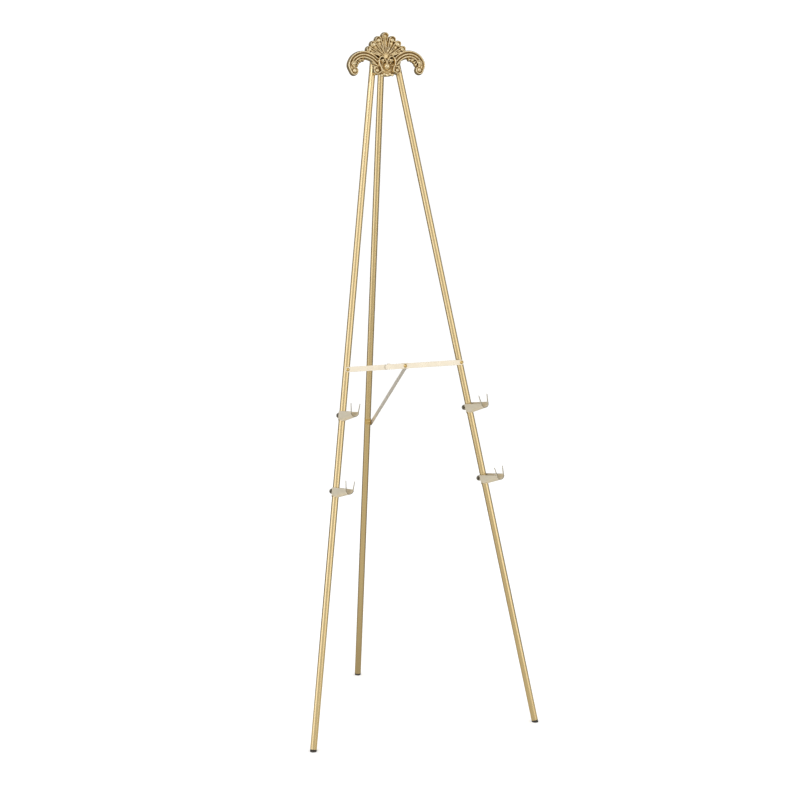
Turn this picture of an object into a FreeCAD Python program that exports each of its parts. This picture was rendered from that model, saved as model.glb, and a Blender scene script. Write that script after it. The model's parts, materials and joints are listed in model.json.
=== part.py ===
"""Folding brass display easel with a cast crest, made of separate named pieces.

The two front legs, the cross bars and the crest lie in one flat front frame that leans back.
Every front piece is drawn in that frame standing upright (x to the right, y to the back, z up
the frame, z = 0 on the floor) and then leaned back about the line through the front feet.
The rear leg hangs from a hinge behind the crest.  Millimetres, +Z up, standing on z = 0, with
the origin midway between the front feet and the rear foot.
"""
import FreeCAD, Part
import math
import os
from FreeCAD import Vector as V

# ---- driving dimensions -------------------------------------------------------------------
TUBE_R = 8.0                 # 16 mm (5/8 in) leg tube
TUBE_WALL = 1.2
STANCE_DEPTH = 499.0         # floor distance from the front feet to the rear foot
FOOT_X = 289.5               # half spread of the front feet
PIVOT_X = 29.5               # half spread of the front leg pivots behind the crest
PIVOT_Z = 1640.0             # their height up the front frame
FRONT_LEAN = 10.05           # degrees the front frame leans back
REAR_HINGE_Y = 21.7          # rear leg hinge behind the front frame
REAR_HINGE_Z = 1645.0
BAR_Z = 901.6                # height of the cross bar rivets up the front frame
STRAP_W = 12.7               # flat strap of the cross bars and the brace
STRAP_T = 2.0
BRACE_W = 10.4               # the brace is a little narrower
RIVET_R = 2.5                # shank of every pivot rivet and pin
RUNNING = 0.05               # radial running clearance of the pivots
GAP = 0.3                    # working gap between pieces that move past each other

# hooks: height of each one's top edge up the front frame, and its turn about its tube in degrees
HOOK_TOP = {"left_upper": 802.5, "left_lower": 622.0, "right_upper": 800.5, "right_lower": 624.0}
HOOK_TURN = {"left_upper": 0.5, "left_lower": 3.0, "right_upper": 5.0, "right_lower": 6.0}
HOOK_W = 9.6                 # outer half width
HOOK_T = 1.2                 # sheet thickness
HOOK_REACH = 88.0            # front end of the side walls, from the tube's centre line
HOOK_BACK_H = 26.0           # height of the walls at the tube
HOOK_FRONT_H = 12.5          # height of the walls at the front
PRONG_H = 19.5
PRONG_W = 4.2                # width of a prong at its root
PRONG_TIP_W = 2.0
PRONG_FLARE = 7.0            # degrees each prong leans outwards

# ---- worked out from the driving dimensions ------------------------------------------------
LEAN = math.radians(FRONT_LEAN)
SPLAY = math.atan((FOOT_X - PIVOT_X) / PIVOT_Z)
LEG_L = PIVOT_Z / math.cos(SPLAY)             # pivot to floor, along a front leg
PLATE_FRONT = -(TUBE_R + GAP + STRAP_T)       # front face of the bracket plate and left bar
PLATE_BACK = -(TUBE_R + GAP)
RIGHT_BAR_FRONT = PLATE_FRONT - GAP - STRAP_T
BAR_HALF = FOOT_X - BAR_Z * math.tan(SPLAY)   # leg rivet to the centre rivet
hinge_floor_y = REAR_HINGE_Z * math.sin(LEAN) + REAR_HINGE_Y * math.cos(LEAN)
hinge_floor_z = REAR_HINGE_Z * math.cos(LEAN) - REAR_HINGE_Y * math.sin(LEAN)
REAR_LEAN = math.atan((STANCE_DEPTH - hinge_floor_y) / hinge_floor_z)
REAR_L = hinge_floor_z / math.cos(REAR_LEAN)  # rear hinge to floor, along the rear leg
FOLD = LEAN + REAR_LEAN                       # angle the rear leg swings when folding

# the centre rivet rises when the easel folds, and the brace fits both ends of that travel
RIVET_DOWN = (PIVOT_Z - BAR_Z) / math.cos(SPLAY)
RISE = PIVOT_Z - RIVET_DOWN + math.sqrt(BAR_HALF ** 2 - PIVOT_X ** 2) - BAR_Z
BRACE_TOP_Y = 6.0                             # brace pin, behind the plane of the front legs
drop = REAR_HINGE_Z - BAR_Z
side = BRACE_TOP_Y - REAR_HINGE_Y
BRACE_DOWN = RISE * (2 * drop - RISE) / (
    2 * (side * math.sin(FOLD) + drop * math.cos(FOLD) - drop + RISE))
BRACE_FOOT_Y = REAR_HINGE_Y + BRACE_DOWN * math.sin(FOLD)
BRACE_FOOT_Z = REAR_HINGE_Z - BRACE_DOWN * math.cos(FOLD)
BRACE_L = math.hypot(BRACE_FOOT_Y - BRACE_TOP_Y, BAR_Z - BRACE_FOOT_Z)
BRACE_ANGLE = math.atan2(BRACE_FOOT_Y - BRACE_TOP_Y, BAR_Z - BRACE_FOOT_Z)
BRACE_X = TUBE_R + 0.8                        # inner face of the brace, beside the rear tube

X_AXIS = V(1, 0, 0)
Y_AXIS = V(0, 1, 0)
Z_AXIS = V(0, 0, 1)


# ---- small shape helpers --------------------------------------------------------------------
def box(x0, x1, y0, y1, z0, z1):
    return Part.makeBox(x1 - x0, y1 - y0, z1 - z0, V(x0, y0, z0))


def rod(radius, start, end):
    """Solid cylinder between two points."""
    along = end - start
    return Part.makeCylinder(radius, along.Length, start, along)


def tube(outer, inner, start, end):
    return rod(outer, start, end).cut(rod(inner, start, end))


def dome(radius, height, base, direction):
    """Low rivet head: a slice of a sphere standing on its flat face."""
    ball_r = (radius ** 2 + height ** 2) / (2 * height)
    centre = base - direction * (ball_r - height)
    ball = Part.makeSphere(ball_r, centre)
    return ball.common(rod(radius + 1, base, base + direction * (height + 1)))


def strap(x0, x1, y0, z, left_round=True, right_round=True):
    """Flat bar along x in the front frame, with round ends about its end holes."""
    half = STRAP_W / 2
    bar = box(x0, x1, y0, y0 + STRAP_T, z - half, z + half)
    if left_round:
        bar = bar.fuse(rod(half, V(x0, y0, z), V(x0, y0 + STRAP_T, z)))
    if right_round:
        bar = bar.fuse(rod(half, V(x1, y0, z), V(x1, y0 + STRAP_T, z)))
    return bar.removeSplitter()


def hole_y(shape, x, z, radius):
    return shape.cut(rod(radius, V(x, -60, z), V(x, 60, z)))


def polygon_face(points):
    return Part.Face(Part.makePolygon(points + points[:1]))


# ---- placing --------------------------------------------------------------------------------
def lean_back(shape):
    """Front frame, drawn upright, to its place on the floor."""
    placed = shape.copy()
    placed.rotate(V(0, 0, 0), X_AXIS, -FRONT_LEAN)
    placed.translate(V(0, -STANCE_DEPTH / 2, 0))
    return placed


def on_leg(shape, hand):
    """Piece drawn about an upright leg whose pivot is the origin, to its front leg."""
    placed = shape.copy()
    placed.rotate(V(0, 0, 0), Y_AXIS, -hand * math.degrees(SPLAY))
    placed.translate(V(hand * PIVOT_X, 0, PIVOT_Z))
    return lean_back(placed)


def on_rear_leg(shape):
    """Piece drawn about an upright rear leg whose hinge is the origin, to its place."""
    placed = shape.copy()
    placed.rotate(V(0, 0, 0), X_AXIS, math.degrees(FOLD))
    placed.translate(V(0, REAR_HINGE_Y, REAR_HINGE_Z))
    return lean_back(placed)


def above_floor(shape):
    """Trim a foot level with the floor."""
    return shape.cut(Part.makeBox(1200, 1200, 100, V(-600, -600, -100)))


nodes = {}


# ---- legs -------------------------------------------------------------------------------------
TUBE_END = 4.5               # tube stops this far short of the floor
TOP_STICK = 13.0             # tube above its pivot
PLUG_DEPTH = 18.0
PLUG_R = TUBE_R - TUBE_WALL - 0.05            # stub of a plug, inside the tube
PAD_R = TUBE_R - 0.2
PAD_SPARE = 10.0             # drawn below the floor, then trimmed level with it
CAP_DEPTH = 8.0
CAP_RISE = 2.5
END_BEVEL = 0.6


def leg_tube(length, cross_axis):
    """Upright leg tube with its pivot hole through the origin along cross_axis."""
    end = TUBE_END - length
    shape = tube(TUBE_R, TUBE_R - TUBE_WALL, V(0, 0, end), V(0, 0, TOP_STICK))
    bevel = Part.makeCone(TUBE_R - END_BEVEL, TUBE_R, END_BEVEL, V(0, 0, end))
    around = rod(TUBE_R + 1, V(0, 0, end), V(0, 0, end + END_BEVEL))
    shape = shape.cut(around.cut(bevel))
    return shape.cut(rod(RIVET_R + RUNNING, cross_axis * -20, cross_axis * 20))


def foot_plug(length):
    """Rubber plug: a stub inside the tube and a pad under its end."""
    tube_end = TUBE_END - length
    stub = rod(PLUG_R, V(0, 0, tube_end), V(0, 0, tube_end + PLUG_DEPTH))
    pad = rod(PAD_R, V(0, 0, -length - PAD_SPARE), V(0, 0, tube_end))
    return stub.fuse(pad).removeSplitter()


def top_plug():
    """Cap pressed into the top of a leg tube."""
    stub = rod(PLUG_R, V(0, 0, TOP_STICK - CAP_DEPTH), V(0, 0, TOP_STICK))
    return stub.fuse(dome(TUBE_R - 0.1, CAP_RISE, V(0, 0, TOP_STICK), Z_AXIS)).removeSplitter()


for side_name, hand in (("left", -1), ("right", 1)):
    nodes[side_name + "_leg_tube"] = on_leg(leg_tube(LEG_L, Y_AXIS), hand)
    nodes[side_name + "_foot_plug"] = above_floor(on_leg(foot_plug(LEG_L), hand))
    nodes[side_name + "_top_plug"] = on_leg(top_plug(), hand)

nodes["rear_leg_tube"] = on_rear_leg(leg_tube(REAR_L, X_AXIS))
nodes["rear_foot_plug"] = above_floor(on_rear_leg(foot_plug(REAR_L)))
nodes["rear_top_plug"] = on_rear_leg(top_plug())


# ---- head bracket and its pivots ---------------------------------------------------------------
PLATE_X = 37.0
PLATE_Z0 = 1630.0
PLATE_Z1 = 1662.0
EAR_X = TUBE_R + 0.6         # inner face of the ears that hold the rear leg
EAR_HALF_H = 9.0
SCREW_Z = 1655.0
SCREW_X = 22.0
SCREW_R = 1.9
SCREW_BITE = 6.0             # length of a screw inside the crest
SCREW_HEAD = (3.6, 1.9)      # radius and height
SCREW_SLOT_W = 0.8
SCREW_SLOT_DEPTH = 0.8
PIVOT_HEAD = (4.5, 2.0)      # radius and height of the heads of the leg pivots
HINGE_HEAD = (4.5, 2.2)


def head_bracket():
    """Bent plate: a front plate for the leg rivets and two ears back to the rear hinge."""
    plate = box(-PLATE_X, PLATE_X, PLATE_FRONT, PLATE_BACK, PLATE_Z0, PLATE_Z1)
    for hand in (-1, 1):
        x0 = min(hand * EAR_X, hand * (EAR_X + STRAP_T))
        low = REAR_HINGE_Z - EAR_HALF_H
        ear = box(x0, x0 + STRAP_T, PLATE_BACK, REAR_HINGE_Y, low, low + 2 * EAR_HALF_H)
        inner = V(x0, REAR_HINGE_Y, REAR_HINGE_Z)
        nose = rod(EAR_HALF_H, inner, inner + X_AXIS * STRAP_T)
        plate = plate.fuse(ear).fuse(nose)
        plate = hole_y(plate, hand * PIVOT_X, PIVOT_Z, RIVET_R)
        plate = hole_y(plate, hand * SCREW_X, SCREW_Z, SCREW_R)
    bore = rod(RIVET_R, V(-20, REAR_HINGE_Y, REAR_HINGE_Z), V(20, REAR_HINGE_Y, REAR_HINGE_Z))
    return plate.removeSplitter().cut(bore)


def front_pivot_rivets():
    """The two rivets the front legs turn on, peened flush in the bracket plate."""
    group = []
    for hand in (-1, 1):
        back = V(hand * PIVOT_X, TUBE_R + GAP, PIVOT_Z)
        shank = rod(RIVET_R, V(hand * PIVOT_X, PLATE_FRONT, PIVOT_Z), back)
        group.append(shank.fuse(dome(*PIVOT_HEAD, back, Y_AXIS)).removeSplitter())
    return Part.makeCompound(group)


def rear_hinge_pin():
    """Pin through the ears and the top of the rear leg, headed at both ends."""
    outer = EAR_X + STRAP_T
    pin = rod(RIVET_R, V(-outer, REAR_HINGE_Y, REAR_HINGE_Z), V(outer, REAR_HINGE_Y, REAR_HINGE_Z))
    for hand in (-1, 1):
        pin = pin.fuse(dome(*HINGE_HEAD, V(hand * outer, REAR_HINGE_Y, REAR_HINGE_Z), X_AXIS * hand))
    return pin.removeSplitter()


def crest_screws():
    """Two pan-head screws that hold the crest to the bracket plate."""
    group = []
    for hand in (-1, 1):
        back = V(hand * SCREW_X, PLATE_BACK, SCREW_Z)
        shank = rod(SCREW_R, V(hand * SCREW_X, PLATE_FRONT - SCREW_BITE, SCREW_Z), back)
        head = dome(*SCREW_HEAD, back, Y_AXIS)
        head_r, head_h = SCREW_HEAD
        slot_floor = PLATE_BACK + head_h - SCREW_SLOT_DEPTH
        low = SCREW_Z - SCREW_SLOT_W / 2
        slot = box(back.x - head_r, back.x + head_r, slot_floor, slot_floor + head_h,
                   low, low + SCREW_SLOT_W)
        group.append(shank.fuse(head).removeSplitter().cut(slot))
    return Part.makeCompound(group)


nodes["head_bracket"] = lean_back(head_bracket())
nodes["front_leg_pivot_rivets"] = lean_back(front_pivot_rivets())
nodes["rear_leg_hinge_pin"] = lean_back(rear_hinge_pin())
nodes["crest_screws"] = lean_back(crest_screws())


# ---- cast crest ---------------------------------------------------------------------------------
CREST_BACK = PLATE_FRONT
CREST_PLATE = 8.0            # thickness of the flat parts of the casting
CREST_RELIEF = 4.5           # how far the domes stand above them
FAN_Z = 1645.0               # where the flutes of the shell meet
FAN_R = 43.0                 # from there to the middle of the lobes
LOBE_R = 9.5
LOBE_ANGLES = (-66.0, -44.0, -22.0, 0.0, 22.0, 44.0, 66.0)
TOP_LOBE_REACH = 1.18        # the middle lobe stands higher than the rest
SCROLL_X = 60.0              # centre of each big C scroll
SCROLL_Z = 1622.5
SCROLL_R = 28.5
SCROLL_HALF_W = 10.5
CURL_X = 76.5                # centre of the small curl at its end
CURL_Z = 1616.0
CURL_R = 11.0
BODY_R = 26.0
BOSS_Z = 1624.0
FOOT_BEAD_Z = 1607.0


def disc(x, z, radius, depth):
    """Disc standing forward from the back face of the casting."""
    return rod(radius, V(x, CREST_BACK, z), V(x, CREST_BACK - depth, z))


def domed_disc(x, z, radius, depth):
    top = dome(radius - 0.5, CREST_RELIEF, V(x, CREST_BACK - depth + 0.2, z), Y_AXIS * -1)
    return disc(x, z, radius, depth).fuse(top)


def ring_sector(x, z, ring_r, half_w, start, sweep, depth):
    """Flat band bent round a centre, angles from +x towards +z."""
    outer = Part.makeCylinder(ring_r + half_w, depth, V(0, 0, 0), Z_AXIS, sweep)
    inner = Part.makeCylinder(ring_r - half_w, depth, V(0, 0, 0), Z_AXIS, 360)
    band = outer.cut(inner)
    band.rotate(V(0, 0, 0), Z_AXIS, start)
    band.rotate(V(0, 0, 0), X_AXIS, 90)
    band.translate(V(x, CREST_BACK, z))
    return band


def shell_fan():
    """Fan of flutes from one point, each ending in a domed lobe."""
    spread = LOBE_ANGLES[-1] * 2 + 8
    fan = [ring_sector(0, FAN_Z, FAN_R / 2, FAN_R / 2 - 1, 90 - spread / 2, spread, CREST_PLATE)]
    for angle in LOBE_ANGLES:
        turn = math.radians(angle)
        reach = FAN_R * (TOP_LOBE_REACH if angle == 0 else 1.0)
        x = reach * math.sin(turn)
        z = FAN_Z + reach * math.cos(turn)
        fan.append(domed_disc(x, z, LOBE_R, CREST_PLATE))
    return fan


def crest_scroll(hand):
    """One C scroll with the small curl and ball at its end."""
    start = -12 if hand > 0 else 50
    curl_start = 180 if hand < 0 else 230
    return [
        ring_sector(hand * SCROLL_X, SCROLL_Z, SCROLL_R, SCROLL_HALF_W, start, 142, CREST_PLATE + 2),
        ring_sector(hand * CURL_X, CURL_Z, CURL_R, 5.0, curl_start, 130, CREST_PLATE),
        domed_disc(hand * CURL_X, CURL_Z, 7.5, CREST_PLATE),
        domed_disc(hand * 22, 1612, 9.0, CREST_PLATE)]


def crest_casting():
    """One casting: a fluted shell over two C scrolls and an oval boss, flat at the back."""
    pieces = shell_fan() + crest_scroll(-1) + crest_scroll(1)
    pieces.append(disc(0, BOSS_Z + 10, BODY_R + 8, CREST_PLATE))
    pieces.append(disc(0, BOSS_Z - 4, BODY_R - 4, CREST_PLATE + 1))
    pieces.append(domed_disc(0, BOSS_Z, 13.0, CREST_PLATE + 2))
    pieces.append(domed_disc(0, FOOT_BEAD_Z, 8.0, CREST_PLATE))
    body = pieces[0].multiFuse(pieces[1:])
    for hand in (-1, 1):
        mouth = V(hand * SCREW_X, CREST_BACK, SCREW_Z)
        body = body.cut(rod(SCREW_R, mouth + Y_AXIS, mouth - Y_AXIS * SCREW_BITE))
    return body


nodes["crest_casting"] = lean_back(crest_casting())


# ---- cross bars ---------------------------------------------------------------------------------
OVERLAP = 52.0               # right bar past the centre rivet, over the left bar
TAB_X = 45.0                 # stop tab that rests on the left bar's top edge
TAB_W = 7.0
TAB_T = 1.6
CORNER_CUT = 3.5             # clipped corners of the right bar's free end
BAR_HEAD = (4.6, 2.3)        # radius and height of the domed rivet heads
SPACER_R = 5.5


def left_cross_bar():
    """Rear strap, from the left leg to the centre rivet."""
    bar = strap(-BAR_HALF, 0, PLATE_FRONT, BAR_Z)
    bar = hole_y(bar, -BAR_HALF, BAR_Z, RIVET_R)
    return hole_y(bar, 0, BAR_Z, RIVET_R + RUNNING)


def right_cross_bar():
    """Front strap, from the right leg past the centre rivet, with a stop tab folded back."""
    bar = strap(-OVERLAP, BAR_HALF, RIGHT_BAR_FRONT, BAR_Z, left_round=False)
    half = STRAP_W / 2
    for up in (-1, 1):
        notch = polygon_face([
            V(-OVERLAP, RIGHT_BAR_FRONT - 1, BAR_Z + up * (half - CORNER_CUT)),
            V(-OVERLAP, RIGHT_BAR_FRONT - 1, BAR_Z + up * (half + 1)),
            V(-OVERLAP + CORNER_CUT + 1, RIGHT_BAR_FRONT - 1, BAR_Z + up * (half + 1))])
        bar = bar.cut(notch.extrude(V(0, STRAP_T + 2, 0)))
    top = BAR_Z + half
    tab_top = top + GAP + TAB_T
    neck_back = RIGHT_BAR_FRONT + STRAP_T
    tab = box(-TAB_X, -TAB_X + TAB_W, RIGHT_BAR_FRONT, PLATE_BACK, top + GAP, tab_top)
    neck = box(-TAB_X, -TAB_X + TAB_W, RIGHT_BAR_FRONT, neck_back, top - 1, tab_top)
    bar = bar.fuse(neck).fuse(tab).removeSplitter()
    bar = hole_y(bar, BAR_HALF, BAR_Z, RIVET_R)
    return hole_y(bar, 0, BAR_Z, RIVET_R + RUNNING)


def bar_rivet(x, bar_front):
    """Domed rivet that holds a cross bar to its leg, ending just clear of the tube."""
    shank = rod(RIVET_R, V(x, bar_front, BAR_Z), V(x, PLATE_BACK, BAR_Z))
    return shank.fuse(dome(*BAR_HEAD, V(x, bar_front, BAR_Z), Y_AXIS * -1)).removeSplitter()


def right_bar_spacer():
    """Washer that fills the step between the front strap and the right leg."""
    x = BAR_HALF
    front = RIGHT_BAR_FRONT + STRAP_T
    return tube(SPACER_R, RIVET_R, V(x, front, BAR_Z), V(x, PLATE_BACK, BAR_Z))


nodes["left_cross_bar"] = lean_back(left_cross_bar())
nodes["right_cross_bar"] = lean_back(right_cross_bar())
nodes["left_bar_rivet"] = lean_back(bar_rivet(-BAR_HALF, PLATE_FRONT))
nodes["right_bar_rivet"] = lean_back(bar_rivet(BAR_HALF, RIGHT_BAR_FRONT))
nodes["right_bar_spacer"] = lean_back(right_bar_spacer())


# ---- centre pivot and brace ------------------------------------------------------------------------
CLIP_FRONT = PLATE_BACK + GAP
CLIP_BACK = CLIP_FRONT + STRAP_T
LUG_X = BRACE_X - GAP        # outer face of the lug beside the brace
LUG_R = 6.0
CLIP_PLATE_X = -7.5          # left end of the clip's plate
CENTRE_HEAD = (4.6, 2.6)
CENTRE_TAIL = (3.8, 1.4)
PIN_HEAD = (4.4, 2.0)
PIN_TAIL = (3.4, 1.2)
FOOT_HEAD = (4.6, 2.2)


def centre_rivet():
    """Rivet the two cross bars turn on, through the brace clip."""
    front = RIGHT_BAR_FRONT - GAP
    shank = rod(RIVET_R, V(0, front, BAR_Z), V(0, CLIP_BACK, BAR_Z))
    head = dome(*CENTRE_HEAD, V(0, front, BAR_Z), Y_AXIS * -1)
    tail = dome(*CENTRE_TAIL, V(0, CLIP_BACK, BAR_Z), Y_AXIS)
    return shank.fuse(head).fuse(tail).removeSplitter()


def brace_clip():
    """Small angle behind the cross bars: a plate on the centre rivet and a lug for the brace."""
    low = BAR_Z - LUG_R
    high = BAR_Z + LUG_R
    base = box(CLIP_PLATE_X, LUG_X, CLIP_FRONT, CLIP_BACK, low - 1, high + 1)
    lug = box(LUG_X - STRAP_T, LUG_X, CLIP_FRONT, BRACE_TOP_Y, low, high)
    nose = rod(LUG_R, V(LUG_X - STRAP_T, BRACE_TOP_Y, BAR_Z), V(LUG_X, BRACE_TOP_Y, BAR_Z))
    clip = base.fuse(lug).fuse(nose).removeSplitter()
    clip = clip.cut(rod(RIVET_R, V(0, CLIP_FRONT - 1, BAR_Z), V(0, CLIP_BACK + 1, BAR_Z)))
    return clip.cut(rod(RIVET_R, V(LUG_X - 4, BRACE_TOP_Y, BAR_Z), V(LUG_X + 1, BRACE_TOP_Y, BAR_Z)))


def brace_pin():
    """Pin through the lug and the top of the brace."""
    inner = LUG_X - STRAP_T
    outer = BRACE_X + STRAP_T + GAP
    pin = rod(RIVET_R, V(inner, BRACE_TOP_Y, BAR_Z), V(outer, BRACE_TOP_Y, BAR_Z))
    pin = pin.fuse(dome(*PIN_HEAD, V(outer, BRACE_TOP_Y, BAR_Z), X_AXIS))
    return pin.fuse(dome(*PIN_TAIL, V(inner, BRACE_TOP_Y, BAR_Z), X_AXIS * -1)).removeSplitter()


def swing_brace(shape):
    """Piece drawn on an upright brace with its top pin at the origin, to its open angle."""
    placed = shape.copy()
    placed.rotate(V(0, 0, 0), X_AXIS, math.degrees(BRACE_ANGLE))
    placed.translate(V(0, BRACE_TOP_Y, BAR_Z))
    return lean_back(placed)


def brace_strut():
    """Flat strap with round ends, its broad faces to left and right."""
    half = BRACE_W / 2
    strut = box(BRACE_X, BRACE_X + STRAP_T, -half, half, -BRACE_L, 0)
    for z in (0, -BRACE_L):
        strut = strut.fuse(rod(half, V(BRACE_X, 0, z), V(BRACE_X + STRAP_T, 0, z)))
    strut = strut.removeSplitter()
    strut = strut.cut(rod(RIVET_R + RUNNING, V(BRACE_X - 1, 0, 0), V(BRACE_X + 4, 0, 0)))
    return strut.cut(rod(RIVET_R, V(BRACE_X - 1, 0, -BRACE_L), V(BRACE_X + 4, 0, -BRACE_L)))


def brace_foot_rivet():
    """Rivet in the foot of the brace, ending just clear of the rear tube."""
    start = V(TUBE_R + GAP, 0, -BRACE_L)
    outer = V(BRACE_X + STRAP_T, 0, -BRACE_L)
    return rod(RIVET_R, start, outer).fuse(dome(*FOOT_HEAD, outer, X_AXIS)).removeSplitter()


nodes["centre_rivet"] = lean_back(centre_rivet())
nodes["brace_clip"] = lean_back(brace_clip())
nodes["brace_pin"] = lean_back(brace_pin())
nodes["brace_strut"] = swing_brace(brace_strut())
nodes["brace_foot_rivet"] = swing_brace(brace_foot_rivet())


# ---- rivet clip on the rear leg ---------------------------------------------------------------------
CLIP_T = 1.0
CLIP_HALF_H = 7.0
CLIP_Z = 7.0 - BRACE_DOWN    # its middle, a little above the brace rivet
CLIP_EDGE_Y = -4.0           # the band covers the front of the tube up to here
CLIP_HEAD = (4.0, 1.8)
CLIP_RIVET_END = 5.0         # the rivet ends inside the tube


def rear_leg_clip():
    """Half band round the front of the rear tube, just above the foot of the brace."""
    low = V(0, 0, CLIP_Z - CLIP_HALF_H)
    high = V(0, 0, CLIP_Z + CLIP_HALF_H)
    band = tube(TUBE_R + CLIP_T, TUBE_R, low, high)
    reach = 2 * TUBE_R
    band = band.common(box(-reach, reach, -reach, CLIP_EDGE_Y, low.z, high.z))
    return band.cut(rod(RIVET_R, V(0, -reach, CLIP_Z), V(0, 0, CLIP_Z)))


def rear_clip_rivet():
    """Rivet through the band into the tube, its domed head in front."""
    seat = V(0, -TUBE_R - CLIP_T, CLIP_Z)
    shank = rod(RIVET_R, seat, V(0, CLIP_RIVET_END, CLIP_Z))
    return shank.fuse(dome(*CLIP_HEAD, seat, Y_AXIS * -1)).removeSplitter()


nodes["rear_leg_clip"] = on_rear_leg(rear_leg_clip())
nodes["rear_clip_rivet"] = on_rear_leg(rear_clip_rivet())
hole = rod(RIVET_R, V(0, -2 * TUBE_R, CLIP_Z), V(0, 0, CLIP_Z))
nodes["rear_leg_tube"] = nodes["rear_leg_tube"].cut(on_rear_leg(hole))


# ---- hooks ------------------------------------------------------------------------------------------
SADDLE_BORE = TUBE_R + GAP
BORE_Z = -10.0               # clamp screw below the hook's top edge
SCREW_SHANK_R = 2.4
NUT_H = 4.0
KNOB_R = 6.6
KNOB_FROM = 22.0             # knob face behind the tube's centre line
KNOB_T = 5.5
KNOB_EDGE = 1.2              # rounding of the knob's rims
FLUTES = 12
FLUTE_R = 1.1
NUT_ACROSS = 4.6             # half width of the nut over its corners
NUT_SUNK = 0.8               # the nut is let into the back of the hook
PRONG_ROOT = 6.0             # a prong runs this far down its wall


def gutter_profile(y, half_w, depth):
    """U-shaped section of the hook at one distance from the tube: flat top, round bottom."""
    left_top = V(-half_w, y, 0)
    left_low = V(-half_w, y, half_w - depth)
    bottom = V(0, y, -depth)
    right_low = V(half_w, y, half_w - depth)
    right_top = V(half_w, y, 0)
    edges = [
        Part.makeLine(left_top, left_low),
        Part.Arc(left_low, bottom, right_low).toShape(),
        Part.makeLine(right_low, right_top),
        Part.makeLine(right_top, left_top)]
    return Part.Wire(edges)


def gutter(half_w, inset, y_back, y_front):
    """Solid gutter that gets shallower from the tube to the front."""
    def depth(y):
        share = (y - SADDLE_BORE) / (-HOOK_REACH - SADDLE_BORE)
        return HOOK_BACK_H + (HOOK_FRONT_H - HOOK_BACK_H) * share - inset
    ends = [gutter_profile(y, half_w, depth(y)) for y in (y_back, y_front)]
    return Part.makeLoft(ends, True, True)


def hook_plan(half_w, front):
    """Outline seen from above: straight sides and a half round back about the tube."""
    low = V(0, 0, -40)
    high = V(0, 0, 5)
    return box(-half_w, half_w, front, 0, -40, 5).fuse(rod(half_w, low, high)).removeSplitter()


def prong(hand):
    """Tapered finger standing on the front corner of one side wall."""
    x0 = min(hand * HOOK_W, hand * (HOOK_W - HOOK_T))
    outline = polygon_face([
        V(x0, -HOOK_REACH, -PRONG_ROOT),
        V(x0, -HOOK_REACH + 1.2, PRONG_H),
        V(x0, -HOOK_REACH + 1.2 + PRONG_TIP_W, PRONG_H),
        V(x0, -HOOK_REACH + PRONG_W, 0),
        V(x0, -HOOK_REACH + PRONG_W, -PRONG_ROOT)])
    finger = outline.extrude(V(HOOK_T, 0, 0))
    above = finger.common(box(-30, 30, -200, 30, 0, 60))
    below = finger.common(box(-30, 30, -200, 30, -30, 0))
    above.rotate(V(hand * (HOOK_W - HOOK_T), 0, 0), Y_AXIS, hand * PRONG_FLARE)
    return above.fuse(below)


def hook_body():
    """Sheet-metal hook about an upright tube through the origin, its top edge at z = 0."""
    outer = gutter(HOOK_W, 0, HOOK_W + 1, -HOOK_REACH).common(hook_plan(HOOK_W, -HOOK_REACH))
    inner = gutter(HOOK_W - HOOK_T, HOOK_T, HOOK_W + 1, -HOOK_REACH - 2)
    inner.translate(V(0, 0, 0.02))
    inner = inner.common(hook_plan(HOOK_W - HOOK_T, -HOOK_REACH - 2))
    body = outer.cut(inner)
    body = body.cut(rod(SADDLE_BORE, V(0, 0, -60), V(0, 0, 10)))
    for hand in (-1, 1):
        body = body.fuse(prong(hand))
    body = body.cut(rod(SCREW_SHANK_R + RUNNING, V(0, 0, BORE_Z), V(0, 40, BORE_Z)))
    return body.removeSplitter()


def hook_nut():
    """Hexagon nut fixed to the back of the hook for the clamp screw."""
    corners = []
    for step in range(6):
        angle = math.radians(60 * step)
        x = NUT_ACROSS * math.cos(angle)
        z = BORE_Z + NUT_ACROSS * math.sin(angle)
        corners.append(V(x, HOOK_W - NUT_SUNK, z))
    block = polygon_face(corners).extrude(V(0, NUT_H + NUT_SUNK, 0))
    block = block.cut(rod(HOOK_W, V(0, 0, -60), V(0, 0, 10)))
    return block.cut(rod(SCREW_SHANK_R + RUNNING, V(0, 0, BORE_Z), V(0, 40, BORE_Z)))


def clamp_screw():
    """Thumbscrew whose tip stops just clear of the tube, with a round fluted knob."""
    shank = rod(SCREW_SHANK_R, V(0, TUBE_R + GAP, BORE_Z), V(0, KNOB_FROM + 1, BORE_Z))
    knob = rod(KNOB_R, V(0, KNOB_FROM, BORE_Z), V(0, KNOB_FROM + KNOB_T, BORE_Z))
    rim = [edge for edge in knob.Edges if edge.Curve.TypeId == "Part::GeomCircle"]
    knob = knob.makeFillet(KNOB_EDGE, rim)
    flute_ring = KNOB_R + FLUTE_R / 2
    for step in range(FLUTES):
        angle = 2 * math.pi * step / FLUTES
        x = flute_ring * math.cos(angle)
        z = BORE_Z + flute_ring * math.sin(angle)
        knob = knob.cut(rod(FLUTE_R, V(x, KNOB_FROM - 1, z), V(x, KNOB_FROM + KNOB_T + 1, z)))
    return shank.fuse(knob).removeSplitter()


def place_hook(shape, hand, which):
    """Turn a hook piece about its tube and set its top edge at its height up the leg."""
    placed = shape.copy()
    placed.rotate(V(0, 0, 0), Z_AXIS, HOOK_TURN[which])
    placed.translate(V(0, 0, (HOOK_TOP[which] - PIVOT_Z) / math.cos(SPLAY)))
    return on_leg(placed, hand)


hook_shapes = {"hook": hook_body(), "hook_nut": hook_nut(), "thumbscrew": clamp_screw()}
for which in HOOK_TOP:
    hand = -1 if which.startswith("left") else 1
    for piece, shape in hook_shapes.items():
        nodes[f"{which}_{piece}"] = place_hook(shape, hand, which)


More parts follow.
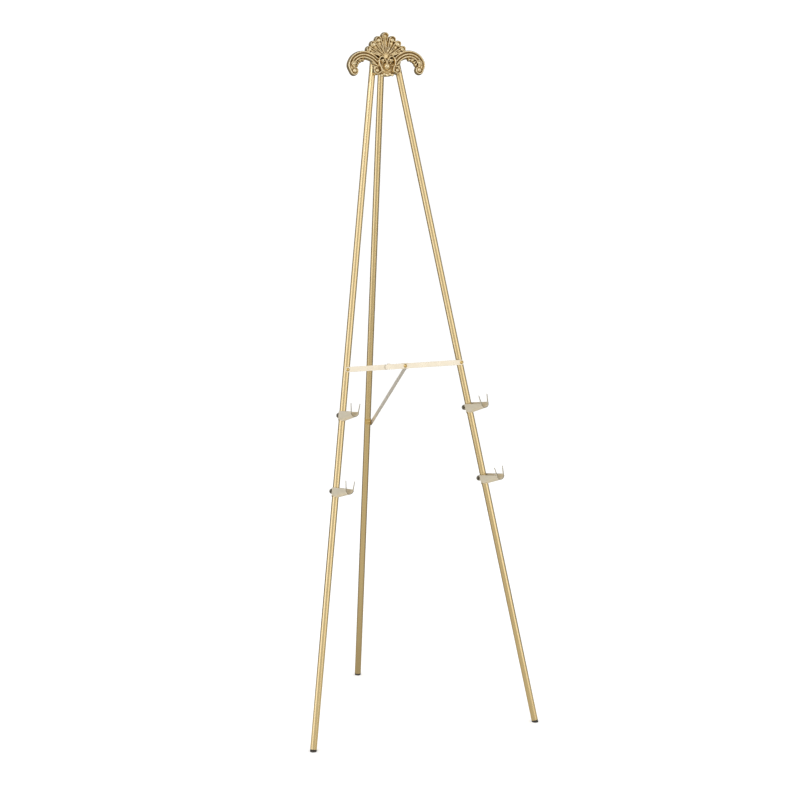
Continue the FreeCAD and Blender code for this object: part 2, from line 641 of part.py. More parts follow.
# ---- write --------------------------------------------------------------------------------------------
PAIRS = ("front_leg_pivot_rivets", "crest_screws")
os.makedirs("parts", exist_ok=True)
for name, shape in nodes.items():
    solids = 2 if name in PAIRS else 1
    if not shape.isValid() or len(shape.Solids) != solids:
        print("check this piece:", name, shape.isValid(), len(shape.Solids))
    shape.exportStep(f"parts/{name}.step")
print(len(nodes), "nodes")
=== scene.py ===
# %% [markdown]
# # A folding display easel with a cast crest
# A light brass-coloured easel stands on three slim tubes. Two front legs and two flat cross bars
# make a folding front frame, a third tube props it from behind, and four sliding hooks carry the
# picture. A cast ornament hides the hinge at the top. The working shape of every part comes from
# the engineering model, which is loaded first and never moved. This script gives each part its
# finish, softens the edges of the sheet-metal parts, and sculpts the crest.

# %% Load the engineering model
import json
import math
import bmesh
import bpy
import numpy as np
from mathutils import Matrix, Vector


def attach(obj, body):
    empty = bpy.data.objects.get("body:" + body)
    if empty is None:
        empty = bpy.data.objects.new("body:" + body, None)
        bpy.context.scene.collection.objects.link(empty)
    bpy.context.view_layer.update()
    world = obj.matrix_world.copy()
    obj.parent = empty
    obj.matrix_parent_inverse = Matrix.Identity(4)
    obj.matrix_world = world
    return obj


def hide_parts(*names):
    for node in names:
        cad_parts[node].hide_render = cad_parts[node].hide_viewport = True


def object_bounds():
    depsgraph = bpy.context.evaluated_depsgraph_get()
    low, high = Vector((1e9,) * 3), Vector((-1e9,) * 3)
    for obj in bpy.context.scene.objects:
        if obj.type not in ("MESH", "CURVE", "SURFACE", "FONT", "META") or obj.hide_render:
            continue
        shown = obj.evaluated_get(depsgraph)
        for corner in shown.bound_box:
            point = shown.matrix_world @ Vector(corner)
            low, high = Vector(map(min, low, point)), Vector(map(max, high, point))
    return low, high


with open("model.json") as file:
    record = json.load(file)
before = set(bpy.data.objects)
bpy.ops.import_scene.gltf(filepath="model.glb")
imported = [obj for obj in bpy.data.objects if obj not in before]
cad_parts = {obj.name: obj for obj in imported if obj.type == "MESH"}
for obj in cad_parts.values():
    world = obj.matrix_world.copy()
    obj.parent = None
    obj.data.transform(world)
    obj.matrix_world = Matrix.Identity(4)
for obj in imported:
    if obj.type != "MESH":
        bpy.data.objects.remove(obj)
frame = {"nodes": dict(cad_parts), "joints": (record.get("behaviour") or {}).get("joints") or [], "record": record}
nodes = frame["nodes"]
joints = {joint["name"]: joint for joint in frame["joints"]}
cad_low, cad_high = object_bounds()
MM = 0.001
print("nodes:", len(nodes), "height in metres:", round(cad_high.z, 3))

# %% [markdown]
# ## Camera
# A long lens from about head height keeps the tall, narrow easel free of distortion. The camera
# stands a little to the left, so the rear leg shows between the front ones. It is turned about
# the upright first and then tipped down, which is the order a tripod head works in.

# %% Place the camera
CAMERA_PLACE = Vector((-1.6951, -4.5396, 1.7067))
CAMERA_YAW = math.radians(20.76)
CAMERA_TIP = math.radians(10.74)
CAMERA_LENS = 89.775
SENSOR_WIDTH = 36.0

scene = bpy.context.scene
camera = bpy.data.objects.new("camera", bpy.data.cameras.new("camera"))
scene.collection.objects.link(camera)
camera.location = CAMERA_PLACE
camera.rotation_euler = (math.radians(90) - CAMERA_TIP, 0.0, -CAMERA_YAW)
camera.data.sensor_width = SENSOR_WIDTH
camera.data.lens = CAMERA_LENS
scene.camera = camera
print("camera distance in metres:", round(CAMERA_PLACE.length, 2))


# %% [markdown]
# ## Helpers for shader nodes
# Every finish below is a small network of nodes. Four helpers keep them short. One adds a node
# and either links or sets each of its sockets. Two make the steps that every finish repeats, a
# blend of two colours and a stretch of one range over another. The last starts a node group,
# which can be placed in many materials.

# %% Node helpers
def node(tree, kind, sockets=None, **settings):
    """Adds one node. A socket's value is either a number or colour, or another node's output."""
    made = tree.nodes.new(kind)
    for name, value in settings.items():
        setattr(made, name, value)
    for name, value in (sockets or {}).items():
        if isinstance(value, bpy.types.NodeSocket):
            tree.links.new(value, made.inputs[name])
        else:
            made.inputs[name].default_value = value
    return made


def blend_colours(tree, share, first, second):
    """The colour between two others, by a share from 0 to 1."""
    made = tree.nodes.new("ShaderNodeMix")
    made.data_type = "RGBA"
    colours = [socket for socket in made.inputs if socket.type == "RGBA"]
    for socket, value in ((made.inputs[0], share), (colours[0], first), (colours[1], second)):
        if isinstance(value, bpy.types.NodeSocket):
            tree.links.new(value, socket)
        else:
            socket.default_value = value
    return next(socket for socket in made.outputs if socket.type == "RGBA")


def span(tree, value, low, high, to_low=0.0, to_high=1.0):
    """Stretches the part of a value between low and high over a new range."""
    return node(tree, "ShaderNodeMapRange", {
        "Value": value, "From Min": low, "From Max": high, "To Min": to_low, "To Max": to_high,
    }).outputs["Result"]


def start_group(name, inputs, outputs):
    """A new node group with named number inputs and outputs."""
    group = bpy.data.node_groups.new(name, "ShaderNodeTree")
    for title, value in inputs.items():
        socket = group.interface.new_socket(title, in_out="INPUT", socket_type="NodeSocketFloat")
        socket.default_value = value
    for title in outputs:
        group.interface.new_socket(title, in_out="OUTPUT", socket_type="NodeSocketFloat")
    return group, group.nodes.new("NodeGroupInput"), group.nodes.new("NodeGroupOutput")


# %% [markdown]
# ## Studio
# Polished metal is only as good as what it reflects. Two tall softboxes stand left and right of
# the camera, so a round tube shows two bright stripes with a slightly darker one between them.
# A small lamp high up puts a spark on every bead of the crest.
# Reflections see a dimmer, warmer room than the eye does, and its far wall is nearly dark, which
# draws a dark line down both edges of a tube. Studios do the same with black cards, so that a
# white table doesn't wash out the metal. Light Path is what tells the two apart: it knows when a
# ray comes from a reflection. The sheet underfoot is plain and pale.

# %% World
ROOM_WHITE = 1.12
FRONT_OF_ROOM = (0.64, 0.57, 0.44, 1.0)
BACK_OF_ROOM = (0.16, 0.14, 0.105, 1.0)
AWAY = Vector((-CAMERA_PLACE.x, -CAMERA_PLACE.y, 0.0)).normalized()
DARK_FROM = -0.1
DARK_AT = 0.45


def light_room():
    """White to the eye and to matt surfaces. In reflections, warm in front and dark behind.

    The dark starts and is full at a share of the way from sideways to straight away."""
    world = bpy.data.worlds.new("studio")
    world.use_nodes = True
    tree = world.node_tree
    tree.nodes.clear()
    ray = node(tree, "ShaderNodeLightPath")
    bright = node(tree, "ShaderNodeBackground", {"Color": (1, 1, 1, 1), "Strength": ROOM_WHITE})
    looking = node(tree, "ShaderNodeTexCoord")
    behind = node(tree, "ShaderNodeVectorMath", {0: looking.outputs["Generated"], 1: AWAY},
                  operation="DOT_PRODUCT")
    wall = blend_colours(tree, span(tree, behind.outputs["Value"], DARK_FROM, DARK_AT),
                         FRONT_OF_ROOM, BACK_OF_ROOM)
    dim = node(tree, "ShaderNodeBackground", {"Color": wall, "Strength": 1.0})
    mixed = node(tree, "ShaderNodeMixShader", {0: ray.outputs["Is Glossy Ray"]})
    tree.links.new(bright.outputs[0], mixed.inputs[1])
    tree.links.new(dim.outputs[0], mixed.inputs[2])
    node(tree, "ShaderNodeOutputWorld", {"Surface": mixed.outputs[0]})
    scene.world = world


light_room()
scene.view_settings.view_transform = "Standard"
print("room brightness:", ROOM_WHITE, "view:", scene.view_settings.view_transform)

# %% Softboxes
OBJECT_MIDDLE = (cad_low + cad_high) / 2
CAMERA_BEARING = math.atan2(CAMERA_PLACE.x, -CAMERA_PLACE.y)
SOFTBOX_AWAY = 3.0
BOX_HEIGHT = 1.3
SIDE_BOX = (2.2, 3.2)
REAR_BOX = (1.4, 3.0)
KEY_BOX = (0.9, 0.9)
WARM_GEL = (1.0, 0.95, 0.85)


def softbox(name, bearing, height, size, power, colour=(1.0, 1.0, 1.0)):
    """A rectangular light at a bearing from the camera, aimed at the middle of the easel."""
    lamp = bpy.data.lights.new(name, "AREA")
    lamp.shape = "RECTANGLE"
    lamp.size, lamp.size_y = size
    lamp.energy = power
    lamp.color = colour
    holder = bpy.data.objects.new(name, lamp)
    angle = CAMERA_BEARING + math.radians(bearing)
    holder.location = (SOFTBOX_AWAY * math.sin(angle), -SOFTBOX_AWAY * math.cos(angle), height)
    aim = OBJECT_MIDDLE - holder.location
    holder.rotation_euler = aim.to_track_quat("-Z", "Y").to_euler()
    holder.visible_camera = False
    scene.collection.objects.link(holder)


softbox("left_softbox", -55, BOX_HEIGHT, SIDE_BOX, 15)
softbox("right_softbox", 48, BOX_HEIGHT, SIDE_BOX, 14, WARM_GEL)
softbox("crest_key", -25, 3.2, KEY_BOX, 6)
softbox("rear_left_softbox", -152, BOX_HEIGHT, REAR_BOX, 4)
softbox("rear_right_softbox", 152, BOX_HEIGHT, REAR_BOX, 4)

# %% Floor
FLOOR_SIZE = 60.0
FLOOR_IN_REFLECTIONS = (0.59, 0.52, 0.375, 1.0)
FLOOR_DARK_FROM = -0.3
FLOOR_DARK_AT = 0.9


def pale_floor():
    """A matt off-white sheet with a very faint mottle.

    Its reflection is warm, and fades to dark between two distances in metres past the easel."""
    material = bpy.data.materials.new("pale_floor")
    material.use_nodes = True
    tree = material.node_tree
    shader = tree.nodes["Principled BSDF"]
    place = node(tree, "ShaderNodeTexCoord")
    mottle = node(tree, "ShaderNodeTexNoise", {"Vector": place.outputs["Object"], "Scale": 3.0})
    tint = blend_colours(tree, mottle.outputs["Fac"], (0.94, 0.94, 0.935, 1), (0.97, 0.97, 0.97, 1))
    tree.links.new(tint, shader.inputs["Base Color"])
    shader.inputs["Roughness"].default_value = 0.9
    shader.inputs["Specular IOR Level"].default_value = 0.1
    # Painted reflection: glossy rays see a glowing warm emission here instead of the matt floor, fading to dark
    # past the easel.
    ray = node(tree, "ShaderNodeLightPath")
    behind = node(tree, "ShaderNodeVectorMath", {0: place.outputs["Object"], 1: AWAY},
                  operation="DOT_PRODUCT")
    past = span(tree, behind.outputs["Value"], FLOOR_DARK_FROM, FLOOR_DARK_AT)
    fading = blend_colours(tree, past, FLOOR_IN_REFLECTIONS, BACK_OF_ROOM)
    mirrored = node(tree, "ShaderNodeEmission", {"Color": fading})
    seen = node(tree, "ShaderNodeMixShader", {0: ray.outputs["Is Glossy Ray"]})
    tree.links.new(shader.outputs[0], seen.inputs[1])
    tree.links.new(mirrored.outputs[0], seen.inputs[2])
    tree.links.new(seen.outputs[0], tree.nodes["Material Output"].inputs["Surface"])
    return material


def make_floor():
    bm = bmesh.new()
    bmesh.ops.create_grid(bm, x_segments=8, y_segments=8, size=FLOOR_SIZE / 2)
    mesh = bpy.data.meshes.new("floor")
    bm.to_mesh(mesh)
    bm.free()
    floor = bpy.data.objects.new("floor", mesh)
    floor.data.materials.append(pale_floor())
    scene.collection.objects.link(floor)


make_floor()
print("floor side in metres:", FLOOR_SIZE)


# %% [markdown]
# ## Effects shared by several finishes
# Real metal is never one flat colour. Four effects are built once as node groups: a cloudy change of tone, a fine
# grain that can be stretched along a tube, tiny pits and specks, and a line along each edge. Some finishes wear
# that line paler. On others it is painted dark shade that outlines the part.

# %% Cloudy tone
def cloudy_tone():
    """Slow patches of lighter and darker metal, from 0 to 1."""
    group, given, out = start_group("cloudy_tone", {"Scale": 20.0, "Contrast": 1.0}, ["Tone"])
    place = node(group, "ShaderNodeTexCoord")
    cloud = node(group, "ShaderNodeTexNoise", {
        "Vector": place.outputs["Object"], "Scale": given.outputs["Scale"], "Detail": 4.0,
        "Roughness": 0.6})
    centred = node(group, "ShaderNodeMath", {0: cloud.outputs["Fac"], 1: 0.5},
                   operation="SUBTRACT")
    scaled = node(group, "ShaderNodeMath", {
        0: centred.outputs[0], 1: given.outputs["Contrast"], 2: 0.5}, operation="MULTIPLY_ADD")
    group.links.new(span(group, scaled.outputs[0], 0.25, 0.75), out.inputs["Tone"])
    return group


# %% Fine grain
def fine_grain():
    """A fine grain for a Bump node. Stretch draws it out along the upright."""
    group, given, out = start_group("fine_grain", {"Scale": 900.0, "Stretch": 1.0}, ["Height"])
    place = node(group, "ShaderNodeTexCoord")
    drawn = node(group, "ShaderNodeCombineXYZ", {
        "X": 1.0, "Y": 1.0, "Z": given.outputs["Stretch"]})
    spaced = node(group, "ShaderNodeVectorMath", {
        0: place.outputs["Object"], 1: drawn.outputs[0]}, operation="MULTIPLY")
    grain = node(group, "ShaderNodeTexNoise", {
        "Vector": spaced.outputs[0], "Scale": given.outputs["Scale"], "Detail": 3.0,
        "Roughness": 0.55})
    group.links.new(grain.outputs["Fac"], out.inputs["Height"])
    return group


# %% Specks
def tiny_specks():
    """Small round marks where the lacquer caught dust, 1 on a mark and 0 between them."""
    group, given, out = start_group("tiny_specks", {"Scale": 300.0, "Size": 0.12}, ["Mark"])
    place = node(group, "ShaderNodeTexCoord")
    cells = node(group, "ShaderNodeTexVoronoi", {
        "Vector": place.outputs["Object"], "Scale": given.outputs["Scale"]})
    chance = node(group, "ShaderNodeTexNoise", {
        "Vector": place.outputs["Object"], "Scale": 45.0})
    reach = node(group, "ShaderNodeMath", {
        0: given.outputs["Size"], 1: span(group, chance.outputs["Fac"], 0.5, 0.7)},
        operation="MULTIPLY")
    inside = node(group, "ShaderNodeMath", {0: cells.outputs["Distance"], 1: reach.outputs[0]},
                  operation="LESS_THAN")
    group.links.new(inside.outputs[0], out.inputs["Mark"])
    return group


# %% Worn and shaded edges
def edge_wear_and_shade():
    """1 on a rounded corner, 0 on open faces: paler wear on some finishes, painted edge shade on others."""
    group, given, out = start_group("edge_wear_and_shade", {"Width": 0.0006, "Strength": 1.0}, ["Rub"])
    rounded = node(group, "ShaderNodeBevel", {"Radius": given.outputs["Width"]}, samples=4)
    true_face = node(group, "ShaderNodeNewGeometry")
    same = node(group, "ShaderNodeVectorMath", {
        0: rounded.outputs["Normal"], 1: true_face.outputs["Normal"]}, operation="DOT_PRODUCT")
    turned = span(group, same.outputs["Value"], 0.995, 0.85)
    kept = node(group, "ShaderNodeMath", {0: turned, 1: given.outputs["Strength"]},
                operation="MULTIPLY", use_clamp=True)
    group.links.new(kept.outputs[0], out.inputs["Rub"])
    return group


EFFECTS = {make.__name__: make() for make in (cloudy_tone, fine_grain, tiny_specks, edge_wear_and_shade)}
print("shared effects:", sorted(EFFECTS))


def effect(tree, name, **values):
    """Places one of the shared effects in a material and returns its only output."""
    made = tree.nodes.new("ShaderNodeGroup")
    made.node_tree = EFFECTS[name]
    for title, value in values.items():
        made.inputs[title].default_value = value
    return made.outputs[0]


# %% [markdown]
# ## Metal finishes
# All the metal parts share one recipe: a base tone that drifts between two colours, an edge colour, darker specks,
# a roughness that follows the same patches, and a very fine grain as bump. On the lacquered tubes and the steel
# screws the edges are paler, from wear. On the hooks, straps and rivets the edge colour is dark, a painted shade
# that outlines them. The narrow sides of the straps and hooks are marked on the parts themselves further down.
# Each finish then only names its own colours and sizes, so they stay related like real plating.

# %% Metal recipe
SPECK_SIZE = 0.10
SPECK_DEPTH = 0.45
GRAIN_STRENGTH = 0.5
COAT_ROUGHNESS = 0.2


def metal(name, tone, deep, rubbed, roughness, patches=20.0, grain=900.0, stretch=1.0,
          grain_height=0.00002, metallic=1.0, coat=0.0, edge=0.0006):
    """A plated or lacquered metal. roughness is the value in a smooth patch and in a dull one."""
    material = bpy.data.materials.new(name)
    material.use_nodes = True
    tree = material.node_tree
    shader = tree.nodes["Principled BSDF"]
    cloud = effect(tree, "cloudy_tone", Scale=patches)
    marks = effect(tree, "tiny_specks", Size=SPECK_SIZE)
    rounded_edge = effect(tree, "edge_wear_and_shade", Width=edge)
    cut = node(tree, "ShaderNodeAttribute", attribute_name="side_wear_and_shade").outputs["Fac"]
    # Edges and marked narrow sides take the rubbed colour: paler wear on tubes and steel, painted dark shade on
    # straps, hooks and rivets.
    edge_wear_and_shade_mask = node(tree, "ShaderNodeMath", {0: rounded_edge, 1: cut}, operation="MAXIMUM").outputs[0]
    drifting = blend_colours(tree, cloud, (*deep, 1), (*tone, 1))
    dark = [value * SPECK_DEPTH for value in deep]
    marked = blend_colours(tree, marks, drifting, (*dark, 1))
    final_colour = blend_colours(tree, edge_wear_and_shade_mask, marked, (*rubbed, 1))
    tree.links.new(final_colour, shader.inputs["Base Color"])
    tree.links.new(span(tree, cloud, 0.0, 1.0, roughness[1], roughness[0]),
                   shader.inputs["Roughness"])
    bump = node(tree, "ShaderNodeBump", {
        "Height": effect(tree, "fine_grain", Scale=grain, Stretch=stretch),
        "Strength": GRAIN_STRENGTH, "Distance": grain_height})
    tree.links.new(bump.outputs["Normal"], shader.inputs["Normal"])
    shader.inputs["Metallic"].default_value = metallic
    shader.inputs["Coat Weight"].default_value = coat
    shader.inputs["Coat Roughness"].default_value = COAT_ROUGHNESS
    return material


# %% [markdown]
# ## The legs
# The legs are thin steel tube, plated brass and sealed under a clear lacquer. Plain yellow paint
# would look flat, so this is a full metal with a light clear coat over it. The drawing die leaves
# its lines along the tube, so the grain is stretched lengthwise.

# %% Satin gold of the tubes
def satin_gold():
    """Clear-lacquered satin gold of the leg tubes, drawn lengthwise."""
    return metal("satin_gold", tone=(0.86, 0.735, 0.485), deep=(0.82, 0.685, 0.43),
                 rubbed=(0.93, 0.85, 0.66), roughness=(0.18, 0.25), patches=14.0, grain=1400.0,
                 stretch=0.03, grain_height=0.000004, coat=0.4)


# %% [markdown]
# ## Bars, brace and hooks
# The cross bars and the brace are pressed from paler strap, and the hooks are folded from sheet
# and plated a dull putty grey. Both are only partly metallic here. A full mirror would show one
# patch of the room over each flat face and turn black from the side, where real plating scatters
# enough light to stay pale.

# %% Pale strap and hook plating
def pale_champagne():
    """Flat strap of the cross bars and brace, much paler than the tubes."""
    # Its dark rubbed colour is painted shade along the strap's edges and narrow sides.
    return metal("pale_champagne", tone=(0.79, 0.75, 0.67), deep=(0.73, 0.68, 0.59),
                 rubbed=(0.34, 0.30, 0.22), roughness=(0.24, 0.34), patches=30.0,
                 grain=1500.0, grain_height=0.00001, metallic=0.6)


def putty_plating():
    """Dull nickel-beige coating of the folded hooks."""
    # Its almost black rubbed colour is painted shade along the hook's edges and narrow sides.
    return metal("putty_plating", tone=(0.84, 0.775, 0.63), deep=(0.78, 0.71, 0.56),
                 rubbed=(0.13, 0.12, 0.09), roughness=(0.34, 0.46), patches=40.0, grain=1100.0,
                 grain_height=0.00003, metallic=0.5)


# %% [markdown]
# ## Rivets and screws
# The rivets are turned brass, left bright, and the thumbscrews are darkened steel with a polish.
# They are small, so their patches and grain are finer than on the large parts, or a whole head
# would fall inside one patch.

# %% Brass rivets and steel screws
def turned_brass():
    """Bright rivets and pins."""
    # Its dark rubbed colour is painted shade round the rim of each head.
    return metal("turned_brass", tone=(0.88, 0.70, 0.36), deep=(0.74, 0.55, 0.25),
                 rubbed=(0.36, 0.26, 0.12), roughness=(0.16, 0.28), patches=90.0, grain=2500.0,
                 edge=0.0003)


def polished_steel():
    """Dark polished thumbscrews, nuts and screws."""
    return metal("polished_steel", tone=(0.42, 0.41, 0.39), deep=(0.30, 0.29, 0.27),
                 rubbed=(0.60, 0.58, 0.54), roughness=(0.12, 0.22), patches=90.0, grain=2500.0,
                 edge=0.0003)


# %% [markdown]
# ## Rubber
# The plugs in the tube ends are moulded black rubber. It is matt, a little dusty, and scuffed
# paler where it meets the floor, so it is made separately from the metals.

# %% Black rubber
SCUFF_HEIGHT = 4 * MM
FRESH_RUBBER = (0.012, 0.011, 0.010, 1)
DUSTY_RUBBER = (0.03, 0.027, 0.024, 1)
SCUFFED_RUBBER = (0.06, 0.055, 0.05, 1)


def black_rubber():
    """Matt black with a dusty bloom and a scuffed sole."""
    material = bpy.data.materials.new("moulded_rubber")
    material.use_nodes = True
    tree = material.node_tree
    shader = tree.nodes["Principled BSDF"]
    cloud = effect(tree, "cloudy_tone", Scale=120.0)
    place = node(tree, "ShaderNodeTexCoord")
    height = node(tree, "ShaderNodeSeparateXYZ", {0: place.outputs["Object"]})
    scuff = span(tree, height.outputs["Z"], SCUFF_HEIGHT, 0.0)
    dusty = blend_colours(tree, cloud, FRESH_RUBBER, DUSTY_RUBBER)
    final_colour = blend_colours(tree, scuff, dusty, SCUFFED_RUBBER)
    tree.links.new(final_colour, shader.inputs["Base Color"])
    tree.links.new(span(tree, cloud, 0.0, 1.0, 0.55, 0.8), shader.inputs["Roughness"])
    bump = node(tree, "ShaderNodeBump", {
        "Height": effect(tree, "fine_grain", Scale=1600.0), "Strength": 0.6,
        "Distance": 0.00008})
    tree.links.new(bump.outputs["Normal"], shader.inputs["Normal"])
    return material


# %% [markdown]
# ## Antique gilding
# The crest is a casting with a dark wash that was wiped off the high places. The dark stays in
# the hollows, so the finish reads how deep each point lies from an attribute that is measured on
# the sculpted mesh further down: 0 at the bottom of a groove, one half on level metal and 1 on a
# crest.

# %% Antique gilding
BROWN_WASH = (0.22, 0.14, 0.06, 1)
DULL_GOLD = (0.74, 0.60, 0.37, 1)
SOFT_GOLD = (0.87, 0.74, 0.50, 1)
RUBBED_GOLD = (0.98, 0.91, 0.73, 1)
WASH_STARTS, WASH_FULL = 0.40, 0.10
RUB_STARTS, RUB_FULL = 0.55, 0.85


def antique_gilding():
    """Gilded casting: brown wash in hollows, soft gold on level metal, bright rubbed ridges."""
    material = bpy.data.materials.new("antique_gilding")
    material.use_nodes = True
    tree = material.node_tree
    shader = tree.nodes["Principled BSDF"]
    relief = node(tree, "ShaderNodeAttribute", attribute_name="relief").outputs["Fac"]
    cloud = effect(tree, "cloudy_tone", Scale=110.0)
    hollow = span(tree, relief, WASH_STARTS, WASH_FULL)
    high = span(tree, relief, RUB_STARTS, RUB_FULL)
    level = blend_colours(tree, cloud, DULL_GOLD, SOFT_GOLD)
    washed = blend_colours(tree, hollow, level, BROWN_WASH)
    rubbed = blend_colours(tree, high, washed, RUBBED_GOLD)
    tree.links.new(rubbed, shader.inputs["Base Color"])
    tree.links.new(span(tree, relief, 0.2, 0.7, 0.45, 0.17), shader.inputs["Roughness"])
    bump = node(tree, "ShaderNodeBump", {
        "Height": effect(tree, "fine_grain", Scale=1300.0), "Strength": 0.5,
        "Distance": 0.00015})
    tree.links.new(bump.outputs["Normal"], shader.inputs["Normal"])
    shader.inputs["Metallic"].default_value = 1.0
    return material


# %% Give every part its finish
FINISHES = {
    "gold_tube": satin_gold(),
    "champagne_strap": pale_champagne(),
    "hook_metal": putty_plating(),
    "brass_rivets": turned_brass(),
    "steel_parts": polished_steel(),
    "black_rubber": black_rubber(),
    "antique_gold": antique_gilding(),
}


def slot_of(name):
    """The finish slot that the engineering model names for a part."""
    return nodes[name].data.materials[0].name


SLOTS = {name: slot_of(name) for name in nodes}
for name, slot in SLOTS.items():
    nodes[name].data.materials[0] = FINISHES[slot]
print("parts finished:", len(SLOTS))


# %% [markdown]
# ## Sheet-metal parts with eased edges
# A pressed strap or a folded hook never has knife edges: the press rounds them and plating thickens the corner.
# The engineering shapes have ideal sharp corners, so each of these parts is copied, its loose triangles are welded
# and merged back into whole faces, and its sharp edges get a narrow bevel. The narrow sides of a sheet and the new
# bevels are marked with an attribute for the finish, which gives them its edge colour: painted dark shade on the
# straps and hooks. The copy stands for the original.

# %% Choose the parts
EASED = [name for name, slot in SLOTS.items()
         if slot in ("champagne_strap", "hook_metal") or name == "head_bracket"]
SHARP_TURN = math.radians(35)
FLAT_TURN = math.radians(0.5)
CUT_WIDTH = 1.6 * MM
CORNERED_SHARE = 0.8
WELD = 0.002 * MM
EDGE_ROUND = {"champagne_strap": 0.35 * MM, "hook_metal": 0.3 * MM, "gold_tube": 0.3 * MM}
print("parts to ease:", EASED)


# %% Put a piece on its body
def body_of(name):
    """The moving body that a part belongs to."""
    bodies = frame["record"]["behaviour"]["bodies"]
    return next(body for body, members in bodies.items() if name in members)


def add_piece(name, bm, material, body):
    """Turns finished mesh data into a piece of the object that rides on a body."""
    mesh = bpy.data.meshes.new(name)
    bm.to_mesh(mesh)
    bm.free()
    mesh.materials.append(material)
    piece = bpy.data.objects.new(name, mesh)
    scene.collection.objects.link(piece)
    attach(piece, body)
    return piece


# %% Ease the edges of a part
def is_cut_edge(face, sharp):
    """True on the narrow side of a sheet, which has sharp corners almost all round."""
    around = sum(edge.calc_length() for edge in face.edges)
    cornered = sum(edge.calc_length() for edge in face.edges if edge in sharp)
    narrow = face.calc_area() < CUT_WIDTH * around / 2
    return narrow and cornered > CORNERED_SHARE * around


def ease_edges(name):
    """A welded copy of a part with its sharp edges rounded and its narrow sides marked for the edge colour,
    painted shade on straps and hooks.
    """
    bm = bmesh.new()
    bm.from_mesh(nodes[name].data)
    bmesh.ops.remove_doubles(bm, verts=bm.verts, dist=WELD)
    bmesh.ops.dissolve_limit(bm, angle_limit=FLAT_TURN, verts=bm.verts, edges=bm.edges)
    sharp = {edge for edge in bm.edges
             if edge.is_manifold and edge.calc_face_angle() > SHARP_TURN}
    # Narrow sides and the new bevels below get the edge colour: painted dark shade on straps and hooks.
    cut = bm.faces.layers.float.new("side_wear_and_shade")
    for face in bm.faces:
        face[cut] = is_cut_edge(face, sharp)
    rounded = bmesh.ops.bevel(
        bm, geom=list(sharp), offset=EDGE_ROUND[SLOTS[name]], offset_type="OFFSET",
        affect="EDGES", segments=2, profile=0.5, material=-1, clamp_overlap=True)
    for face in rounded["faces"]:
        face[cut] = 1.0
    for face in bm.faces:
        face.smooth = True
    piece = add_piece("eased_" + name, bm, FINISHES[SLOTS[name]], body_of(name))
    weighted = piece.modifiers.new("even_shading", "WEIGHTED_NORMAL")
    weighted.keep_sharp = True
    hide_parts(name)
    return piece


for name in EASED:
    ease_edges(name)
print("parts with eased edges:", len(EASED))

# %% [markdown]
# ## Crest: a place to sculpt in
# The crest lies flat on the bracket that the legs hang from. It is sculpted in its own simple
# space, in millimetres: x to the right, y up the front frame from the leg pivots, and z forward
# from its flat back. The directions come from the joints and the extent from the plain casting,
# so the ornament sits where the engineering model holds it. Its screws have some play, and it was
# fitted a touch to the left.

# %% The crest's own space
UP = Vector(joints["centre_pivot_rise"]["axis"]).normalized()
FORWARD = Vector(joints["left_leg_fold"]["axis"]).normalized()
RIGHT = Vector((1.0, 0.0, 0.0))
CREST_TOP = 66.0
CREST_ASIDE = -2.5 * MM

casting = [vertex.co for vertex in nodes["crest_casting"].data.vertices]
top_of_casting = max(point.dot(UP) for point in casting)
back_of_casting = min(point.dot(FORWARD) for point in casting)
origin = UP * (top_of_casting - CREST_TOP * MM) + FORWARD * back_of_casting + RIGHT * CREST_ASIDE
TO_EASEL = Matrix.Translation(origin) @ Matrix((
    (RIGHT.x, UP.x, FORWARD.x, 0), (RIGHT.y, UP.y, FORWARD.y, 0),
    (RIGHT.z, UP.z, FORWARD.z, 0), (0, 0, 0, 1))) @ Matrix.Scale(MM, 4)
print("crest width in millimetres:", round((max(p.x for p in casting) * 2) / MM, 1))

# %% [markdown]
# ## Crest: carving tools
# A carver builds such an ornament from a few strokes: a ridge that swells and tapers along a
# curve, a low dome, and a round bead. Each tool adds one closed solid with a flat bottom. Later
# all of them are fused into one skin, as wax is before it is cast.

# %% Carving tools
RIDGE_SIDES = 14
CURVE_STEPS = 6


def smooth_line(points):
    """A smooth line through a few points, by Catmull and Rom's rule."""
    points = [Vector(point) for point in points]
    ends = [points[0], *points, points[-1]]
    line = []
    for before, here, after, beyond in zip(ends, ends[1:], ends[2:], ends[3:]):
        for step in range(CURVE_STEPS):
            t = step / CURVE_STEPS
            pull = (after - before) * t
            bend = (2 * before - 5 * here + 4 * after - beyond) * t ** 2
            twist = (3 * here - before - 3 * after + beyond) * t ** 3
            line.append((2 * here + pull + bend + twist) / 2)
    return line + [points[-1]]


def arc(centre, radius, start, end, count=9):
    """Points on an arc, by angles in degrees from the right, anticlockwise when end is larger."""
    angles = [math.radians(start + (end - start) * i / (count - 1)) for i in range(count)]
    return [(centre[0] + radius * math.cos(a), centre[1] + radius * math.sin(a)) for a in angles]


def beside(points, distance):
    """The same line moved sideways, to its left."""
    line = [Vector(point) for point in points]
    moved = []
    for i, point in enumerate(line):
        heading = (line[min(i + 1, len(line) - 1)] - line[max(i - 1, 0)]).normalized()
        moved.append((point.x - heading.y * distance, point.y + heading.x * distance))
    return moved


def value_along(values, share):
    """The value at a share of the way along a short list."""
    return float(np.interp(share, np.linspace(0, 1, len(values)), values))


